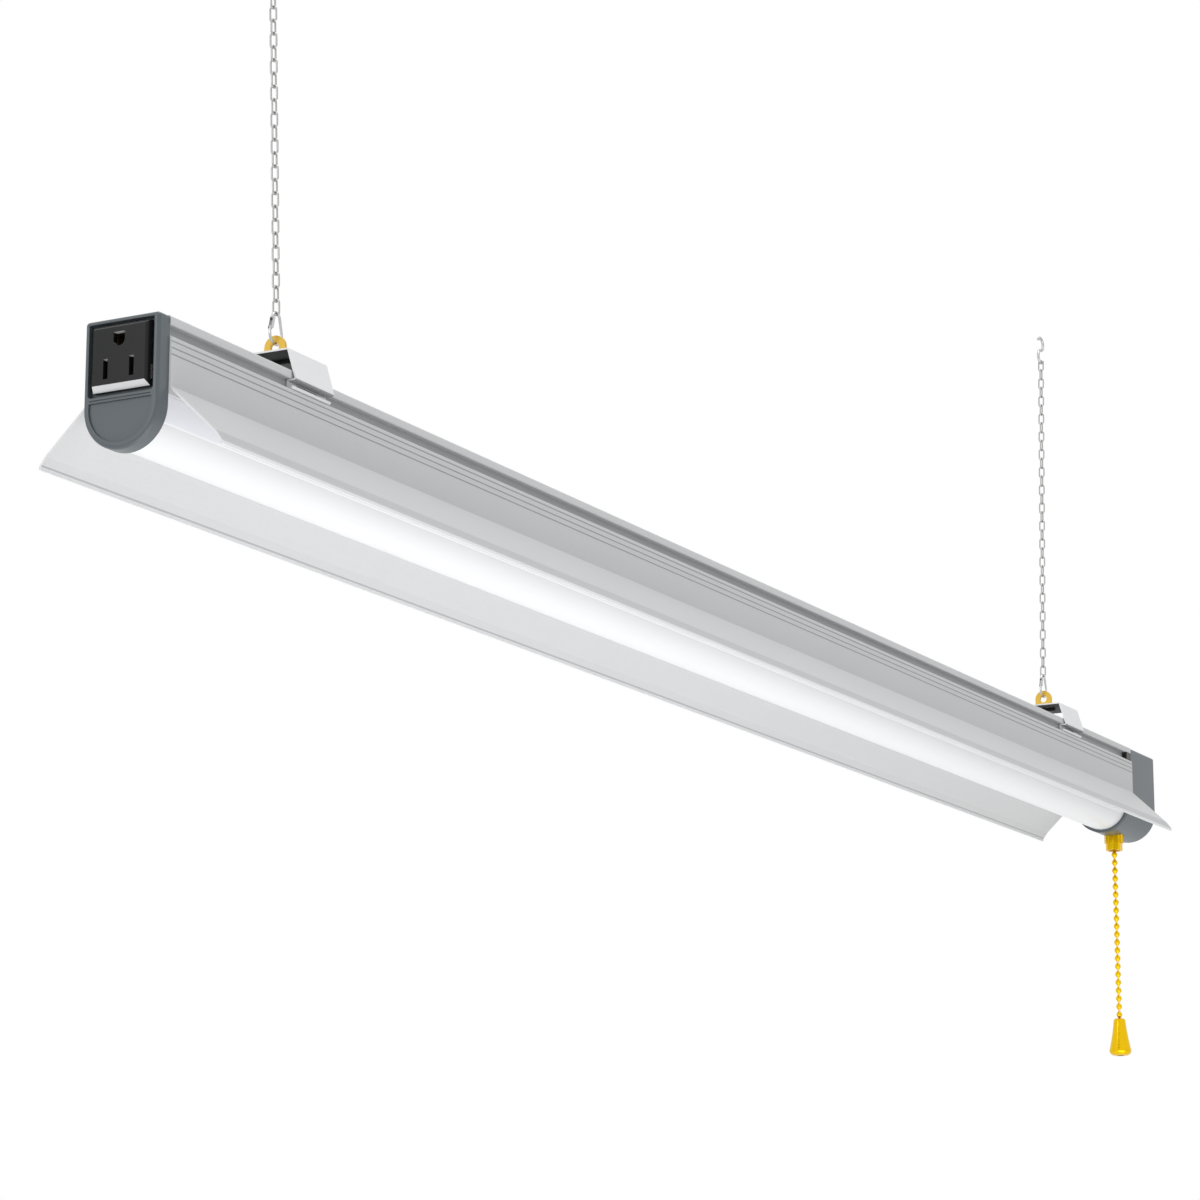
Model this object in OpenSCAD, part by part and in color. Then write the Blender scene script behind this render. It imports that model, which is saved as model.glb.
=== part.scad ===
// Linkable LED shop light on two hanging chains, with a pull chain switch.
// The light runs along X, from its outlet end to its switch end. Y is across and Z is up.
// The origin is midway between the two ceiling hooks, where the hooks bear.

/* [Channel] */
// Length of the aluminium channel, the reflectors and the diffuser
channel_len = 1090; // [700:10:1300]
// Width over the channel's two top flanges
flange_w = 37.2; // [34:0.2:46]
// Height of a flange's edge
flange_h = 3.9; // [3.4:0.1:5]
// Height of the hanging groove under each flange
groove_h = 5.6; // [5:0.1:6]
// Depth of the hanging groove
groove_depth = 3.2; // [2.4:0.1:4]
// Wall of the channel
channel_t = 1.4; // [1:0.1:2]
// Depth of the channel, from its top to the foot of its sides
channel_h = 33; // [31:0.5:36]
// Width over the channel's sides, under the groove
side_w = 36.8; // [34:0.2:45]
// Depth from the channel's top to the web that carries the light board
web_depth = 27; // [26.8:0.1:28]
// Radius of a screw port in the channel
port_r = 1.35; // [1.2:0.05:1.6]
// Distance between the two screw ports
port_span = 20; // [16:0.5:24]

/* [Reflectors] */
// Thickness of the reflector sheet
sheet_t = 0.9; // [0.6:0.1:1.2]
// Depth from the channel's top to the bend where a wing starts
bend_depth = 30; // [27:0.2:34]
// Distance from the middle to a wing's edge
wing_reach = 44.8; // [38:0.2:60]
// Depth from the channel's top to a wing's edge
wing_depth = 56.8; // [51:0.2:70]
// Width of the steeper strip beside a wing's rim
edge_w = 3; // [2:0.1:5]
// Height of the upright rim along a wing's edge
rim_h = 1.4; // [0.8:0.1:3]
// Depth of the fine lines rolled along the side
line_depth = 0.3; // [0.15:0.05:0.4]

/* [Diffuser] */
// Outer radius of the half-round diffuser
diffuser_r = 16.4; // [15:0.1:16.8]
// Wall of the diffuser
diffuser_t = 1.2; // [0.8:0.1:1.6]
// Height of the snap bead on each edge of the diffuser
bead_h = 1.2; // [0.8:0.1:1.6]

/* [Light board] */
// Width of the light board
board_w = 18; // [12:0.5:24]
// Thickness of the light board
board_t = 1.6; // [1:0.1:2]
// Length of the light board
board_len = 1070; // [650:10:1280]
// Number of light emitting diodes in the row
led_count = 96; // [24:4:120]
// Length of one diode
led_len = 3.5; // [2:0.1:5]
// Width of one diode
led_w = 2.8; // [2:0.1:4]
// Height of one diode
led_h = 0.7; // [0.5:0.1:1.2]

/* [Driver] */
// Length of the driver case
driver_len = 230; // [120:5:300]
// Width of the driver case
driver_w = 21; // [16:0.5:24]
// Height of the driver case
driver_h = 15; // [10:0.5:17]
// Wall of the driver case
driver_t = 1; // [0.8:0.1:1.5]
// Diameter of each wire that runs through the channel
wire_d = 2.4; // [1.8:0.1:3]

/* [End caps] */
// Width of an end cap
cap_w = 36.4; // [35:0.2:42]
// Height of an end cap
cap_h = 55.2; // [54:0.2:66]
// Length of the outlet end cap
outlet_cap_len = 7.6; // [7:0.1:12]
// Length of the switch end cap outside the channel
switch_cap_len = 44.5; // [38:0.5:60]
// Length of the collar under the diffuser's end
collar_len = 7; // [4:0.5:12]
// Wall of the end caps
cap_t = 2; // [1.6:0.1:2.6]
// Rounding of an end cap's outer edges
cap_round = 1.7; // [1.2:0.1:2.2]
// Width of the pocket round the outlet
pocket_w = 32; // [30.4:0.2:33]
// Height of the pocket round the outlet
pocket_h = 30.8; // [29:0.2:32]
// Depth of the pocket round the outlet
pocket_depth = 3.2; // [2:0.1:4]
// Radius of the blank half-round panel
panel_r = 15.4; // [10:0.2:15.8]
// Depth of the blank half-round panel
panel_depth = 0.9; // [0.5:0.1:1.5]
// Diameter of a cap screw's shank
screw_d = 2.6; // [2.4:0.1:3]
// Length of a cap screw
screw_len = 14; // [10:1:20]
// Diameter of a cap screw's head
screw_head_d = 5; // [4.4:0.1:5.6]

/* [Outlet] */
// Width of the outlet over its bevels
outlet_w = 27.8; // [27:0.1:29]
// Height of the outlet over its bevels
outlet_h = 27.4; // [27:0.1:28]
// Distance that the outlet's face stands in front of the cap
outlet_proud = 1.6; // [1:0.1:3]
// Distance between the two blade slots
slot_span = 12.7; // [12.7:0.1:12.8]
// Height of the earth hole above the blade slots
earth_rise = 11.9; // [11.9:0.1:12]
// Height of a blade slot
slot_h = 8.2; // [7.6:0.1:8.8]
// Width of a blade slot
slot_w = 2.3; // [2:0.1:2.6]
// Diameter of the earth hole
earth_d = 5.6; // [5.2:0.1:6]
// Depth of the bevels round the outlet's face
outlet_bevel = 2.6; // [1.6:0.1:3]
// Wall of the brass contacts
contact_t = 0.8; // [0.5:0.1:1]
// Depth of the outlet's body behind its bevels
outlet_depth = 19; // [16:0.5:24]

/* [Pull switch] */
// Depth from the channel's top to the top of the switch's case
switch_top = 20; // [16:0.5:22]
// Height of the switch's case
switch_h = 27; // [25:0.5:28]
// Width of the switch's case
switch_w = 24.8; // [20:0.2:25.4]
// Length of the switch's case
switch_len = 20; // [16:0.5:22]
// Diameter of the plunger's rod
plunger_d = 2.4; // [2:0.1:2.6]
// Diameter of the spring's wire
spring_wire_d = 0.6; // [0.4:0.1:0.7]
// Number of turns in the spring
spring_turns = 6; // [4:1:8]
// Distance of the switch from the end of the channel
switch_x = 14; // [12:0.5:20]
// Diameter of the bushing's collar
collar_d = 12.3; // [11:0.1:14]
// Height of the bushing's collar below the cap
collar_h = 4.4; // [2:0.1:5]
// Diameter of the bushing's barrel
barrel_d = 10.8; // [9.6:0.1:11]
// Height of the bushing's barrel
barrel_h = 4.9; // [4:0.1:7]
// Diameter of the bushing's bore
bush_bore_d = 5.4; // [5:0.1:6]
// Travel of the pull switch
pull_travel = 6; // [4:0.5:7]
// Diameter of a ball on the pull chain
ball_d = 3.8; // [3.2:0.1:4.4]
// Distance between two balls
ball_pitch = 5.23; // [4.8:0.01:6]
// Number of balls
ball_count = 21; // [8:1:30]
// Diameter of the pins that join the balls
pin_d = 0.9; // [0.8:0.05:1.1]
// Height of the pull knob
knob_h = 24; // [16:0.5:32]
// Diameter of the pull knob's top
knob_top_d = 7.6; // [6:0.1:9]
// Diameter of the pull knob near its foot
knob_foot_d = 14.2; // [11:0.1:17]

/* [Spring clips] */
// Distance between the two hanging clips
clip_span = 882; // [500:2:1000]
// Length of a clip along the channel
clip_len = 30; // [20:1:50]
// Thickness of the clip's spring steel
clip_t = 0.8; // [0.6:0.1:1]
// Height of a clip above the channel
clip_rise = 10; // [8:0.5:14]
// Width of a clip's flat top
clip_top_w = 32.4; // [26:0.2:36]
// Gap between a flange's side and the clip's foot
clip_side_gap = 1.4; // [0.8:0.1:2.4]

/* [Ears] */
// Thickness of an ear
ear_t = 1.6; // [1.2:0.1:2.4]
// Width of an ear
ear_w = 10.6; // [9:0.1:14]
// Height of the ear's hole above the clip
ear_hole_rise = 6; // [5:0.1:9]
// Diameter of the ear's hole
ear_hole_d = 4.4; // [4:0.1:5]

/* [Carabiners] */
// Diameter of the carabiner's wire
hook_wire_d = 1.3; // [1:0.05:1.6]
// Height of a carabiner
carabiner_h = 15.6; // [14:0.1:20]
// Radius of the carabiner's top bend, at the middle of the wire
top_bend_r = 2.9; // [2.6:0.1:3.6]
// Radius of the carabiner's bottom bend, at the middle of the wire
low_bend_r = 4.6; // [4.2:0.1:5.4]
// Diameter of the carabiner's gate
gate_d = 1.9; // [1.6:0.1:2.2]

/* [Chains] */
// Number of links in each chain, an odd number
link_count = 35; // [11:2:45]
// Length of a link
link_len = 7.9; // [7:0.1:12]
// Width of a link
link_w = 4; // [3.6:0.1:6]
// Diameter of a link's wire
link_wire_d = 0.9; // [0.8:0.05:1.1]
// Lean of each chain away from the middle of the light, in degrees
chain_lean = 3; // [0:0.5:6]

/* [Ceiling hooks] */
// Diameter of a ceiling hook's wire
s_wire_d = 1.8; // [1.5:0.1:2]
// Radius of a ceiling hook's bends, at the middle of the wire
s_bend_r = 4.2; // [3.8:0.1:6]

/* [Fits] */
// Clearance where parts slide or turn on each other
run_gap = 0.3; // [0.25:0.05:0.4]
// Clearance of a shaft in its bore
shaft_gap = 0.08; // [0.05:0.01:0.1]
// Clearance where parts are pushed together and stay
seat_gap = 0.15; // [0.1:0.05:0.2]
// Play between two links, or between a link and a hook
link_play = 0.1; // [0.05:0.05:0.2]

/* [Hidden] */
$fn = 48;
// Overrun of every cut
over = 1;
// Smoothness of a hull's own children
hull_fn = 32;
LEFT = -1;
RIGHT = 1;

// Heights, measured from the channel's top
groove_foot = flange_h + groove_h;
end_x = channel_len / 2;
side_in = side_w / 2 - channel_t;
groove_back = flange_w / 2 - groove_depth;
port_z = -channel_t * 5;
port_wall = port_r + channel_t * 0.8;
web_foot = web_depth + channel_t;
round_z = cap_w / 2 - cap_h;
rib_out = diffuser_r - diffuser_t - seat_gap;
notch_depth = channel_t * 0.4;

// Heights of the hanging gear, measured from the channel's top
hole_z = clip_rise + ear_hole_rise;
low_wire_z = hole_z + ear_hole_d / 2 - hook_wire_d / 2 - link_play;
top_wire_z = low_wire_z + carabiner_h - hook_wire_d;
link_pitch = link_len - 2 * link_wire_d - link_play;
first_wire_drop = (hook_wire_d + link_wire_d) / 2 + link_play;
last_wire_drop = (s_wire_d + link_wire_d) / 2 + link_play;
chain_run = (link_count - 1) * link_pitch + link_len - link_wire_d - first_wire_drop - last_wire_drop;
hook_z = top_wire_z + chain_run * cos(chain_lean);
hook_x = clip_span / 2 + chain_run * sin(chain_lean);
bearing_z = hook_z + 4 * s_bend_r - s_wire_d / 2;
top_z = -bearing_z;

// The point half way round a mitred corner, so that both walls of a strip stay parallel
function unit(v) = v / norm(v);
function left_of(v) = [-v[1], v[0]];
function mitre(p, i) =
    let(
        before = i > 0 ? left_of(unit(p[i] - p[i - 1])) : left_of(unit(p[1] - p[0])),
        after = i < len(p) - 1 ? left_of(unit(p[i + 1] - p[i])) : before
    )
    (before + after) / (1 + before * after);

// The outline of a sheet of thickness t that is bent along the path p
function strip(p, t) = concat(
    [for (i = [0 : len(p) - 1]) p[i] + mitre(p, i) * t / 2],
    [for (i = [len(p) - 1 : -1 : 0]) p[i] - mitre(p, i) * t / 2]
);

// The corner b of the path a, b, c as an arc of radius r in n steps
function corner(a, b, c, r, n) =
    let(
        u = unit(a - b),
        w = unit(c - b),
        half = acos(u * w) / 2,
        centre = b + unit(u + w) * r / sin(half),
        start = b + u * r / tan(half) - centre,
        way = sign(cross(u, w)),
        sweep = -way * (180 - 2 * half)
    )
    [for (i = [0 : n]) let(t = sweep * i / n)
        centre + [start[0] * cos(t) - start[1] * sin(t), start[0] * sin(t) + start[1] * cos(t)]];

// The path p with every inner corner rounded by the radius r
function bent(p, r, n = 4) = concat(
    [p[0]],
    [for (i = [1 : len(p) - 2]) for (q = corner(p[i - 1], p[i], p[i + 1], r, n)) q],
    [p[len(p) - 1]]
);

// Carries a shape drawn in Y and Z along X, from x0 for the length l
module along_x(x0, l) {
    translate([x0, 0, 0]) rotate([90, 0, 90]) linear_extrude(l) children();
}

// Places what is drawn from the channel's top as zero
module hung() {
    translate([0, 0, top_z]) children();
}

module both_sides() {
    children();
    mirror([0, 1, 0]) children();
}

module both_halves() {
    children();
    mirror([1, 0]) children();
}

// Part of a ring of wire in the XZ plane; the angles run from +X towards +Z
module wire_bend(r, d, from, sweep) {
    rotate([90, 0, 0]) rotate([0, 0, from]) rotate_extrude(angle = sweep) translate([r, 0]) circle(d = d);
}

// The profile of the aluminium channel
module channel_profile() {
    top_round = flange_h / 3;
    difference() {
        union() {
            both_halves() {
                translate([0, -channel_t]) square([flange_w / 2, channel_t]);
                translate([groove_back - channel_t, -flange_h])
                    square([groove_depth + channel_t, flange_h]);
                translate([groove_back - channel_t, -groove_foot - channel_t])
                    square([channel_t, groove_foot + channel_t]);
                translate([groove_back - channel_t, -groove_foot - channel_t])
                    square([side_w / 2 - groove_back + channel_t, channel_t]);
                translate([side_in, -channel_h]) square([channel_t, channel_h - groove_foot]);
                translate([0, -web_foot]) square([side_in, channel_t]);
                translate([rib_out - channel_t, -channel_h]) square([channel_t, channel_h - web_depth]);
                translate([port_span / 2, port_z]) circle(r = port_wall);
                translate([(port_span - channel_t) / 2, port_z + port_r])
                    square([channel_t, -port_z - port_r]);
            }
        }
        both_halves() {
            translate([port_span / 2, port_z]) circle(r = port_r);
            translate([port_span / 2 - port_r * 0.4, port_z - port_wall * 2])
                square([port_r * 0.8, port_wall * 2]);
            translate([side_in - over, -channel_h + bead_h]) square([over + notch_depth, bead_h * 1.3]);
            translate([flange_w / 2 - top_round, -top_round]) difference() {
                square(top_round + over);
                circle(r = top_round);
            }
            translate([flange_w / 2, -flange_h]) rotate(45) square(flange_h * 0.12, center = true);
            translate([side_w / 2, -groove_foot]) rotate(45) square(sheet_t, center = true);
        }
    }
}

module channel() {
    color("gainsboro") hung() difference() {
        along_x(-end_x, channel_len) channel_profile();
        board_screw_places() cylinder(d = screw_d, h = 2 * channel_t + over, center = true);
    }
}

// The bent path of one reflector, from the hem in the groove to the rim
sheet_y = side_w / 2 + sheet_t / 2;
hem_z = -groove_foot + sheet_t / 2;
rim_y = wing_reach - sheet_t / 2;
edge_fall = edge_w * 1.35;
sheet_path = [
    [groove_back + channel_t / 2, hem_z],
    [sheet_y, hem_z],
    [sheet_y, -bend_depth],
    [rim_y - edge_w, -wing_depth + rim_h + edge_fall]
];
reflector_path = concat(bent(sheet_path, sheet_t), [[rim_y, -wing_depth + rim_h], [rim_y, -wing_depth]]);
line_shares = [0.09, 0.22, 0.35];

module reflector_profile() {
    difference() {
        polygon(strip(reflector_path, sheet_t));
        for (share = line_shares)
            translate([sheet_y + sheet_t / 2, hem_z - share * (bend_depth + hem_z)])
                rotate(45) square(line_depth * sqrt(2), center = true);
    }
}

module reflector_back() {
    color("whitesmoke") hung() along_x(-end_x, channel_len) reflector_profile();
}

module reflector_front() {
    color("whitesmoke") mirror([0, 1, 0]) hung() along_x(-end_x, channel_len) reflector_profile();
}

// The half-round diffuser with its straight legs and snap beads
leg_top = -web_foot - seat_gap;
bead_z = -channel_h + bead_h * 1.15;
bead_out = side_in + notch_depth * 0.7;

module diffuser_profile() {
    difference() {
        union() {
            intersection() {
                translate([0, round_z]) circle(r = diffuser_r, $fn = 96);
                translate([-diffuser_r - over, round_z - diffuser_r - over])
                    square([2 * (diffuser_r + over), diffuser_r + over + (leg_top - round_z) / 2]);
            }
            translate([-diffuser_r, round_z]) square([2 * diffuser_r, leg_top - round_z]);
            translate([-bead_out, bead_z]) square([2 * bead_out, bead_h]);
        }
        translate([0, round_z]) circle(r = diffuser_r - diffuser_t, $fn = 96);
        translate([diffuser_t - diffuser_r, round_z])
            square([2 * (diffuser_r - diffuser_t), leg_top - round_z + over]);
    }
}

module diffuser() {
    color("white", 0.9) hung() along_x(-end_x, channel_len) diffuser_profile();
}

board_foot = -web_foot - board_t;
board_screw_count = 6;
board_screw_y = board_w / 2 - screw_head_d / 2;

module board_screw_places() {
    for (i = [0 : board_screw_count - 1])
        translate([(i + 0.5 - board_screw_count / 2) * board_len / board_screw_count,
            (i % 2 == 0 ? 1 : -1) * board_screw_y, -web_foot]) children();
}

module led_board() {
    color("ivory") hung() difference() {
        translate([-board_len / 2, -board_w / 2, board_foot]) cube([board_len, board_w, board_t]);
        board_screw_places() cylinder(d = screw_d, h = 2 * board_t + over, center = true);
    }
}

module led_packages() {
    led_pitch = board_len / led_count;
    color("khaki") hung() for (i = [0 : led_count - 1])
        translate([(i + 0.5) * led_pitch - board_len / 2 - led_len / 2, -led_w / 2, board_foot - led_h])
            cube([led_len, led_w, led_h]);
}

screw_head_h = screw_head_d * 0.34;
board_screw_len = board_t + channel_t;

// A pan head screw: its head stands under z = 0 and its shank rises above it
module pan_screw(l) {
    cylinder(d = screw_d - 2 * shaft_gap, h = l);
    difference() {
        translate([0, 0, -screw_head_h])
            cylinder(d1 = screw_head_d * 0.8, d2 = screw_head_d, h = screw_head_h);
        for (turn = [0, 90]) rotate(turn)
            translate([0, 0, -screw_head_h])
                cube([screw_head_d * 0.5, screw_d * 0.25, screw_head_h], center = true);
    }
}

module board_screws() {
    color("silver") hung() board_screw_places() translate([0, 0, -board_t]) pan_screw(board_screw_len);
}

// The driver lies on the web near the switch end, as a case with its board inside
driver_end = end_x - driver_w;
driver_x0 = driver_end - driver_len;
case_floor = driver_t;
stand_h = driver_t * 1.5;
driver_board_z = -web_depth + case_floor + stand_h;

module driver_case() {
    color("lightgray") hung() difference() {
        translate([driver_x0, -driver_w / 2, -web_depth]) cube([driver_len, driver_w, driver_h]);
        translate([driver_x0 - over, driver_t - driver_w / 2, -web_depth + driver_t])
            cube([driver_len + 2 * over, driver_w - 2 * driver_t, driver_h - 2 * driver_t]);
    }
}

// Shares of the driver's length where its larger components stand
choke_share = 0.14;
transformer_share = 0.46;
capacitor_shares = [0.27, 0.33, 0.68, 0.86];

module driver_board() {
    board_in_w = driver_w - 2 * driver_t - 2 * run_gap;
    part_h = driver_h - 2 * driver_t - stand_h - board_t - run_gap;
    color("seagreen") hung() translate([driver_x0, 0, driver_board_z]) {
        translate([driver_t, -board_in_w / 2, 0]) cube([driver_len - 2 * driver_t, board_in_w, board_t]);
        for (x = [driver_t, driver_len - 3 * driver_t])
            translate([x, -board_in_w / 2, -stand_h]) cube([2 * driver_t, board_in_w, stand_h]);
        translate([driver_len * choke_share, 0, board_t]) cylinder(d = board_in_w * 0.7, h = part_h * 0.8);
        translate([driver_len * transformer_share, -board_in_w * 0.4, board_t])
            cube([board_in_w, board_in_w * 0.8, part_h]);
        for (share = capacitor_shares)
            translate([driver_len * share, 0, board_t]) cylinder(d = board_in_w * 0.5, h = part_h);
    }
}

// Three wires join the outlet to the switch: two lie on the web and the earth lies on one of them
outlet_base_x = -end_x - outlet_cap_len - outlet_proud + outlet_bevel;
outlet_back_x = outlet_base_x + outlet_depth;
wire_y = driver_w / 2 + wire_d / 2 + shaft_gap;
wire_z = -web_depth + wire_d / 2 + shaft_gap;
switch_x0 = end_x + switch_x - switch_len / 2;

module through_wires() {
    color("white") hung() for (place = [[wire_y, 0], [-wire_y, 0], [-wire_y, wire_d + shaft_gap]])
        translate([outlet_back_x, place[0], wire_z + place[1]])
            rotate([0, 90, 0]) cylinder(d = wire_d, h = switch_x0 - outlet_back_x);
}

// Rubber stops that close the grooves beside the switch end cap
stop_len = groove_depth * 2.4;

module groove_stops() {
    stop_h = groove_h - sheet_t - seat_gap;
    color("black") hung() both_sides()
        translate([end_x - stop_len, groove_back, -flange_h - stop_h])
            cube([stop_len, groove_depth, stop_h]);
}

// A block with the end cap's outline between two stations along X, whose far edges are rounded
module cap_block(x_open, x_shut, inset, rounding) {
    way = sign(x_shut - x_open);
    big_r = cap_w / 2 - inset;
    edge_x = x_shut - way * rounding;
    hull() {
        for (y = [-1, 1]) translate([edge_x, y * (big_r - rounding), -inset - rounding])
            rotate([0, -way * 90, 0]) {
                sphere(r = rounding, $fn = hull_fn);
                cylinder(r = rounding, h = abs(edge_x - x_open), $fn = hull_fn);
            }
        translate([edge_x, 0, round_z]) {
            rotate([90, 0, 90]) rotate([0, 0, 180]) rotate_extrude(angle = 180, $fn = 3 * hull_fn)
                translate([big_r - rounding, 0]) circle(r = rounding, $fn = hull_fn);
            rotate([0, -way * 90, 0])
                cylinder(r = big_r, h = abs(edge_x - x_open), $fn = 3 * hull_fn);
        }
    }
}

// A square with two rounded lower corners, drawn in Y and Z with its top edge at z
module pocket_shape(w, h, z, r) {
    translate([-w / 2, z - h + r]) square([w, h - r]);
    translate([r - w / 2, z - h]) square([w - 2 * r, h]);
    both_halves() translate([w / 2 - r, z - h + r]) circle(r = r);
}

rim_t = (cap_w - pocket_w) / 2;
pocket_top = -rim_t * 0.8;
cap_front = -end_x - outlet_cap_len;
pocket_floor = cap_front + pocket_depth;
outlet_z = pocket_top - outlet_h / 2 - (pocket_h - outlet_h) * 0.37;
slot_z = outlet_z - earth_rise / 2 + outlet_h * 0.035;
earth_z = slot_z + earth_rise;
body_w = outlet_w - outlet_bevel * 1.25;
body_foot = slot_z - slot_h / 2 - 1.2 * contact_t;
body_top = port_z - port_wall - 2 * seat_gap;
tower_w = earth_d + 4 * contact_t;
tower_top = earth_z + earth_d * 0.55 + 2.2 * contact_t;

// The outlet's body, with a tower round the earth contact between the two screw ports
module outlet_body_shape(gap) {
    translate([-body_w / 2 - gap, body_foot - gap])
        square([body_w + 2 * gap, body_top - body_foot + 2 * gap]);
    translate([-tower_w / 2 - gap, body_foot - gap])
        square([tower_w + 2 * gap, tower_top - body_foot + 2 * gap]);
}

// The outlet end cap: a rounded shell with a pocket for the outlet and a blank half-round panel
module outlet_end_cap() {
    panel_z = pocket_top - pocket_h - rim_t;
    bar_w = pocket_w - rim_t;
    color("slategray") hung() difference() {
        cap_block(-end_x, cap_front, 0, cap_round);
        along_x(cap_front - over, pocket_depth + over)
            pocket_shape(pocket_w, pocket_h, pocket_top, cap_round);
        along_x(cap_front - over, panel_depth + over) intersection() {
            translate([0, round_z]) circle(r = panel_r, $fn = 96);
            translate([-panel_r - over, round_z - panel_r - over])
                square([2 * (panel_r + over), panel_z - round_z + panel_r + over]);
        }
        along_x(cap_front - over, panel_depth / 2 + over)
            translate([-bar_w / 2, pocket_top - pocket_h - rim_t * 0.7]) square([bar_w, rim_t * 0.25]);
        along_x(cap_front, outlet_cap_len + over) outlet_body_shape(seat_gap);
        for (y = [-1, 1]) translate([-end_x - outlet_cap_len, y * port_span / 2, port_z])
            rotate([0, 90, 0]) cylinder(d = screw_d, h = outlet_cap_len + over);
    }
}

module outlet_cap_screws() {
    color("silver") hung() for (y = [-1, 1])
        translate([pocket_floor, y * port_span / 2, port_z]) rotate([0, 90, 0]) pan_screw(screw_len);
}

// The holes in the outlet's face, seen from the front; grow widens them for the contacts behind
module outlet_holes(grow) {
    for (y = [-1, 1]) translate([y * slot_span / 2 - slot_w / 2 - grow, slot_z - slot_h / 2 - grow])
        square([slot_w + 2 * grow, slot_h + 2 * grow]);
    translate([0, earth_z]) circle(d = earth_d + 2 * grow);
    translate([-earth_d / 2 - grow, earth_z]) square([earth_d + 2 * grow, earth_d * 0.55 + grow]);
}

// The black snap-in outlet: a bevelled face on a skirt, with its body behind and two ribbed latches
module outlet_module() {
    face_x = cap_front - outlet_proud;
    skirt = pocket_floor - outlet_base_x;
    skirt_t = outlet_bevel / 2;
    latch_w = (pocket_w - outlet_w) / 2 - run_gap;
    latch_h = outlet_h * 0.17;
    latch_z = outlet_z - outlet_h * 0.36;
    color("black") hung() difference() {
        union() {
            translate([outlet_base_x, 0, outlet_z]) rotate([0, -90, 0])
                bevel_plate(outlet_h, outlet_w, outlet_bevel);
            along_x(outlet_base_x, skirt) difference() {
                translate([-outlet_w / 2, outlet_z - outlet_h / 2]) square([outlet_w, outlet_h]);
                translate([skirt_t - outlet_w / 2, outlet_z - outlet_h / 2 + skirt_t])
                    square([outlet_w - 2 * skirt_t, outlet_h - 2 * skirt_t]);
            }
            along_x(outlet_base_x, outlet_depth) outlet_body_shape(0);
            both_sides() for (i = [0 : 2])
                translate([outlet_base_x, outlet_w / 2, latch_z + i * latch_h / 2.4])
                    rotate([0, 90, 0]) cylinder(r = latch_w * 0.6, h = skirt);
        }
        along_x(face_x - over, outlet_bevel + 2 * over) outlet_holes(0);
        along_x(outlet_base_x, outlet_depth + over) outlet_holes(contact_t);
    }
}

// A plate with bevelled edges that narrows from w by l at z = 0 to its face at z = t
module bevel_plate(w, l, t) {
    low_share = 0.85;
    top_share = 0.6;
    side_share = 0.45;
    hull() {
        translate([-w / 2, -l / 2, 0]) cube([w, l, shaft_gap]);
        translate([t * low_share - w / 2, t * side_share - l / 2, t - shaft_gap])
            cube([w - t * (low_share + top_share), l - 2 * t * side_share, shaft_gap]);
    }
}

// The brass contacts behind the holes of the outlet
module outlet_contacts() {
    contact_x = outlet_base_x + contact_t;
    contact_len = outlet_depth - 2 * contact_t;
    color("goldenrod") hung() difference() {
        along_x(contact_x, contact_len) outlet_holes(contact_t - seat_gap / 2);
        along_x(contact_x - over, contact_len - contact_t + over) outlet_holes(0);
    }
}

// The switch end cap: a deep hollow cap whose collar carries the diffuser's end
switch_front = end_x + switch_cap_len;
boss_r = screw_head_d / 2 + cap_t * 0.6;
screw_seat_x = end_x + cap_t * 1.5;
neck_r = barrel_d / 2 - seat_gap;
gland_z = -(switch_top + switch_h) / 2;
gland_r = 3.7;

module switch_end_cap() {
    color("slategray") hung() difference() {
        union() {
            difference() {
                cap_block(end_x, switch_front, 0, cap_round);
                cap_block(end_x - over, switch_front - cap_t, cap_t, cap_round / 2);
            }
            for (y = [-1, 1]) translate([end_x, y * port_span / 2, port_z])
                rotate([0, 90, 0]) cylinder(r = boss_r, h = switch_cap_len - cap_t / 2);
            translate([end_x - collar_len, 0, round_z]) rotate([90, 0, 90]) rotate([0, 0, 180])
                rotate_extrude(angle = 180, $fn = 96) collar_section();
        }
        for (y = [-1, 1]) translate([end_x, y * port_span / 2, port_z]) rotate([0, 90, 0]) {
            translate([0, 0, -over]) cylinder(d = screw_d, h = switch_cap_len);
            translate([0, 0, screw_seat_x - end_x])
                cylinder(d = screw_head_d + 2 * run_gap, h = switch_cap_len);
        }
        translate([end_x + switch_x, 0, -cap_h - over])
            cylinder(r = neck_r + seat_gap, h = cap_t + 2 * over);
        translate([switch_front - cap_t - over, 0, gland_z])
            rotate([0, 90, 0]) cylinder(r = gland_r * 1.35 + seat_gap, h = cap_t + 2 * over);
    }
}

// The collar's section: a thin sleeve with a ring groove near its edge
module collar_section() {
    inner = diffuser_r + seat_gap;
    wall = cap_w / 2 - inner;
    difference() {
        translate([inner, 0]) square([wall, collar_len + cap_t]);
        translate([inner + wall, cap_t * 0.7]) rotate(45) square(wall * 0.7, center = true);
    }
}

module switch_cap_screws() {
    color("silver") hung() for (y = [-1, 1])
        translate([screw_seat_x, y * port_span / 2, port_z]) rotate([0, -90, 0]) pan_screw(screw_len);
}

// The cord gland in the switch end: a flanged tube with a domed nut
module cord_gland() {
    outer_r = gland_r * 1.35;
    flange_t = cap_t * 0.8;
    nut_h = cap_t * 3;
    color("black") hung() translate([switch_front, 0, gland_z]) rotate([0, 90, 0]) difference() {
        union() {
            translate([0, 0, -cap_t * 2]) cylinder(r = outer_r, h = cap_t * 2);
            cylinder(r = outer_r * 1.4, h = flange_t);
            translate([0, 0, flange_t]) cylinder(r = outer_r * 1.25, h = nut_h * 0.6, $fn = 6);
            translate([0, 0, flange_t + nut_h * 0.6])
                cylinder(r1 = outer_r, r2 = outer_r * 0.85, h = nut_h * 0.4);
        }
        translate([0, 0, -cap_t * 2 - over])
            cylinder(r = gland_r, h = cap_t * 2 + flange_t + nut_h + 2 * over);
    }
}

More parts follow.
